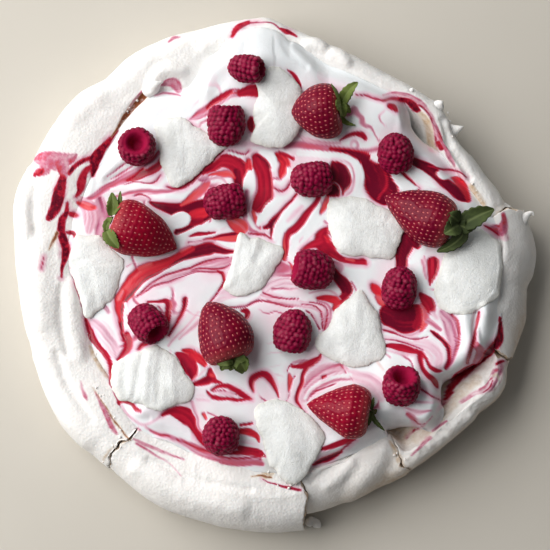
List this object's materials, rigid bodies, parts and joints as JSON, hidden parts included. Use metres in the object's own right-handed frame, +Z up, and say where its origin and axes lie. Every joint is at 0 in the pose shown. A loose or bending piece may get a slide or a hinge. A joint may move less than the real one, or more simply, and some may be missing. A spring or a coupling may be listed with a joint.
{
  "type": "pavlova",
  "caption": "Round meringue shell with a cracked, folded rim, filled with sauce-swirled whipped cream and topped with raspberries, strawberries and sugared petals.",
  "frame": {"origin": "centre of the cake's underside, on the surface it stands on", "axes": "+Z up; +Y away from the viewer, towards the rim where the tallest mound of cream is; +X to the right, towards the rounded broken rim piece"},
  "size_m": [0.303, 0.2982, 0.069],
  "materials": {
    "meringue": "chalky baked meringue, white outside and tan where broken",
    "cream": "smooth whipped cream swirled with glossy red berry sauce",
    "raspberry": "satin, many small drupelets",
    "strawberry": "glossy skin with sunken pale seeds",
    "leaf": "matte green leaf",
    "petal": "fine sugar crystals on a white petal"
  },
  "bodies": {
    "root": {"meringue_shell": "meringue", "meringue_front": "meringue", "meringue_front_right": "meringue", "meringue_lower_right": "meringue", "meringue_right": "meringue", "cream": "cream", "raspberry_01": "raspberry", "raspberry_02": "raspberry", "raspberry_03": "raspberry", "raspberry_04": "raspberry", "raspberry_05": "raspberry", "raspberry_06": "raspberry", "raspberry_07": "raspberry", "raspberry_08": "raspberry", "raspberry_09": "raspberry", "raspberry_10": "raspberry", "raspberry_11": "raspberry", "raspberry_12": "raspberry", "strawberry_01": "strawberry", "strawberry_02": "strawberry", "strawberry_03": "strawberry", "strawberry_04": "strawberry", "strawberry_05": "strawberry", "calyx_01": "leaf", "calyx_02": "leaf", "calyx_03": "leaf", "calyx_04": "leaf", "calyx_05": "leaf", "petal_01": "petal", "petal_02": "petal", "petal_03": "petal", "petal_04": "petal", "petal_05": "petal", "petal_06": "petal", "petal_07": "petal", "petal_08": "petal", "petal_09": "petal"}
  },
  "joints": []
}
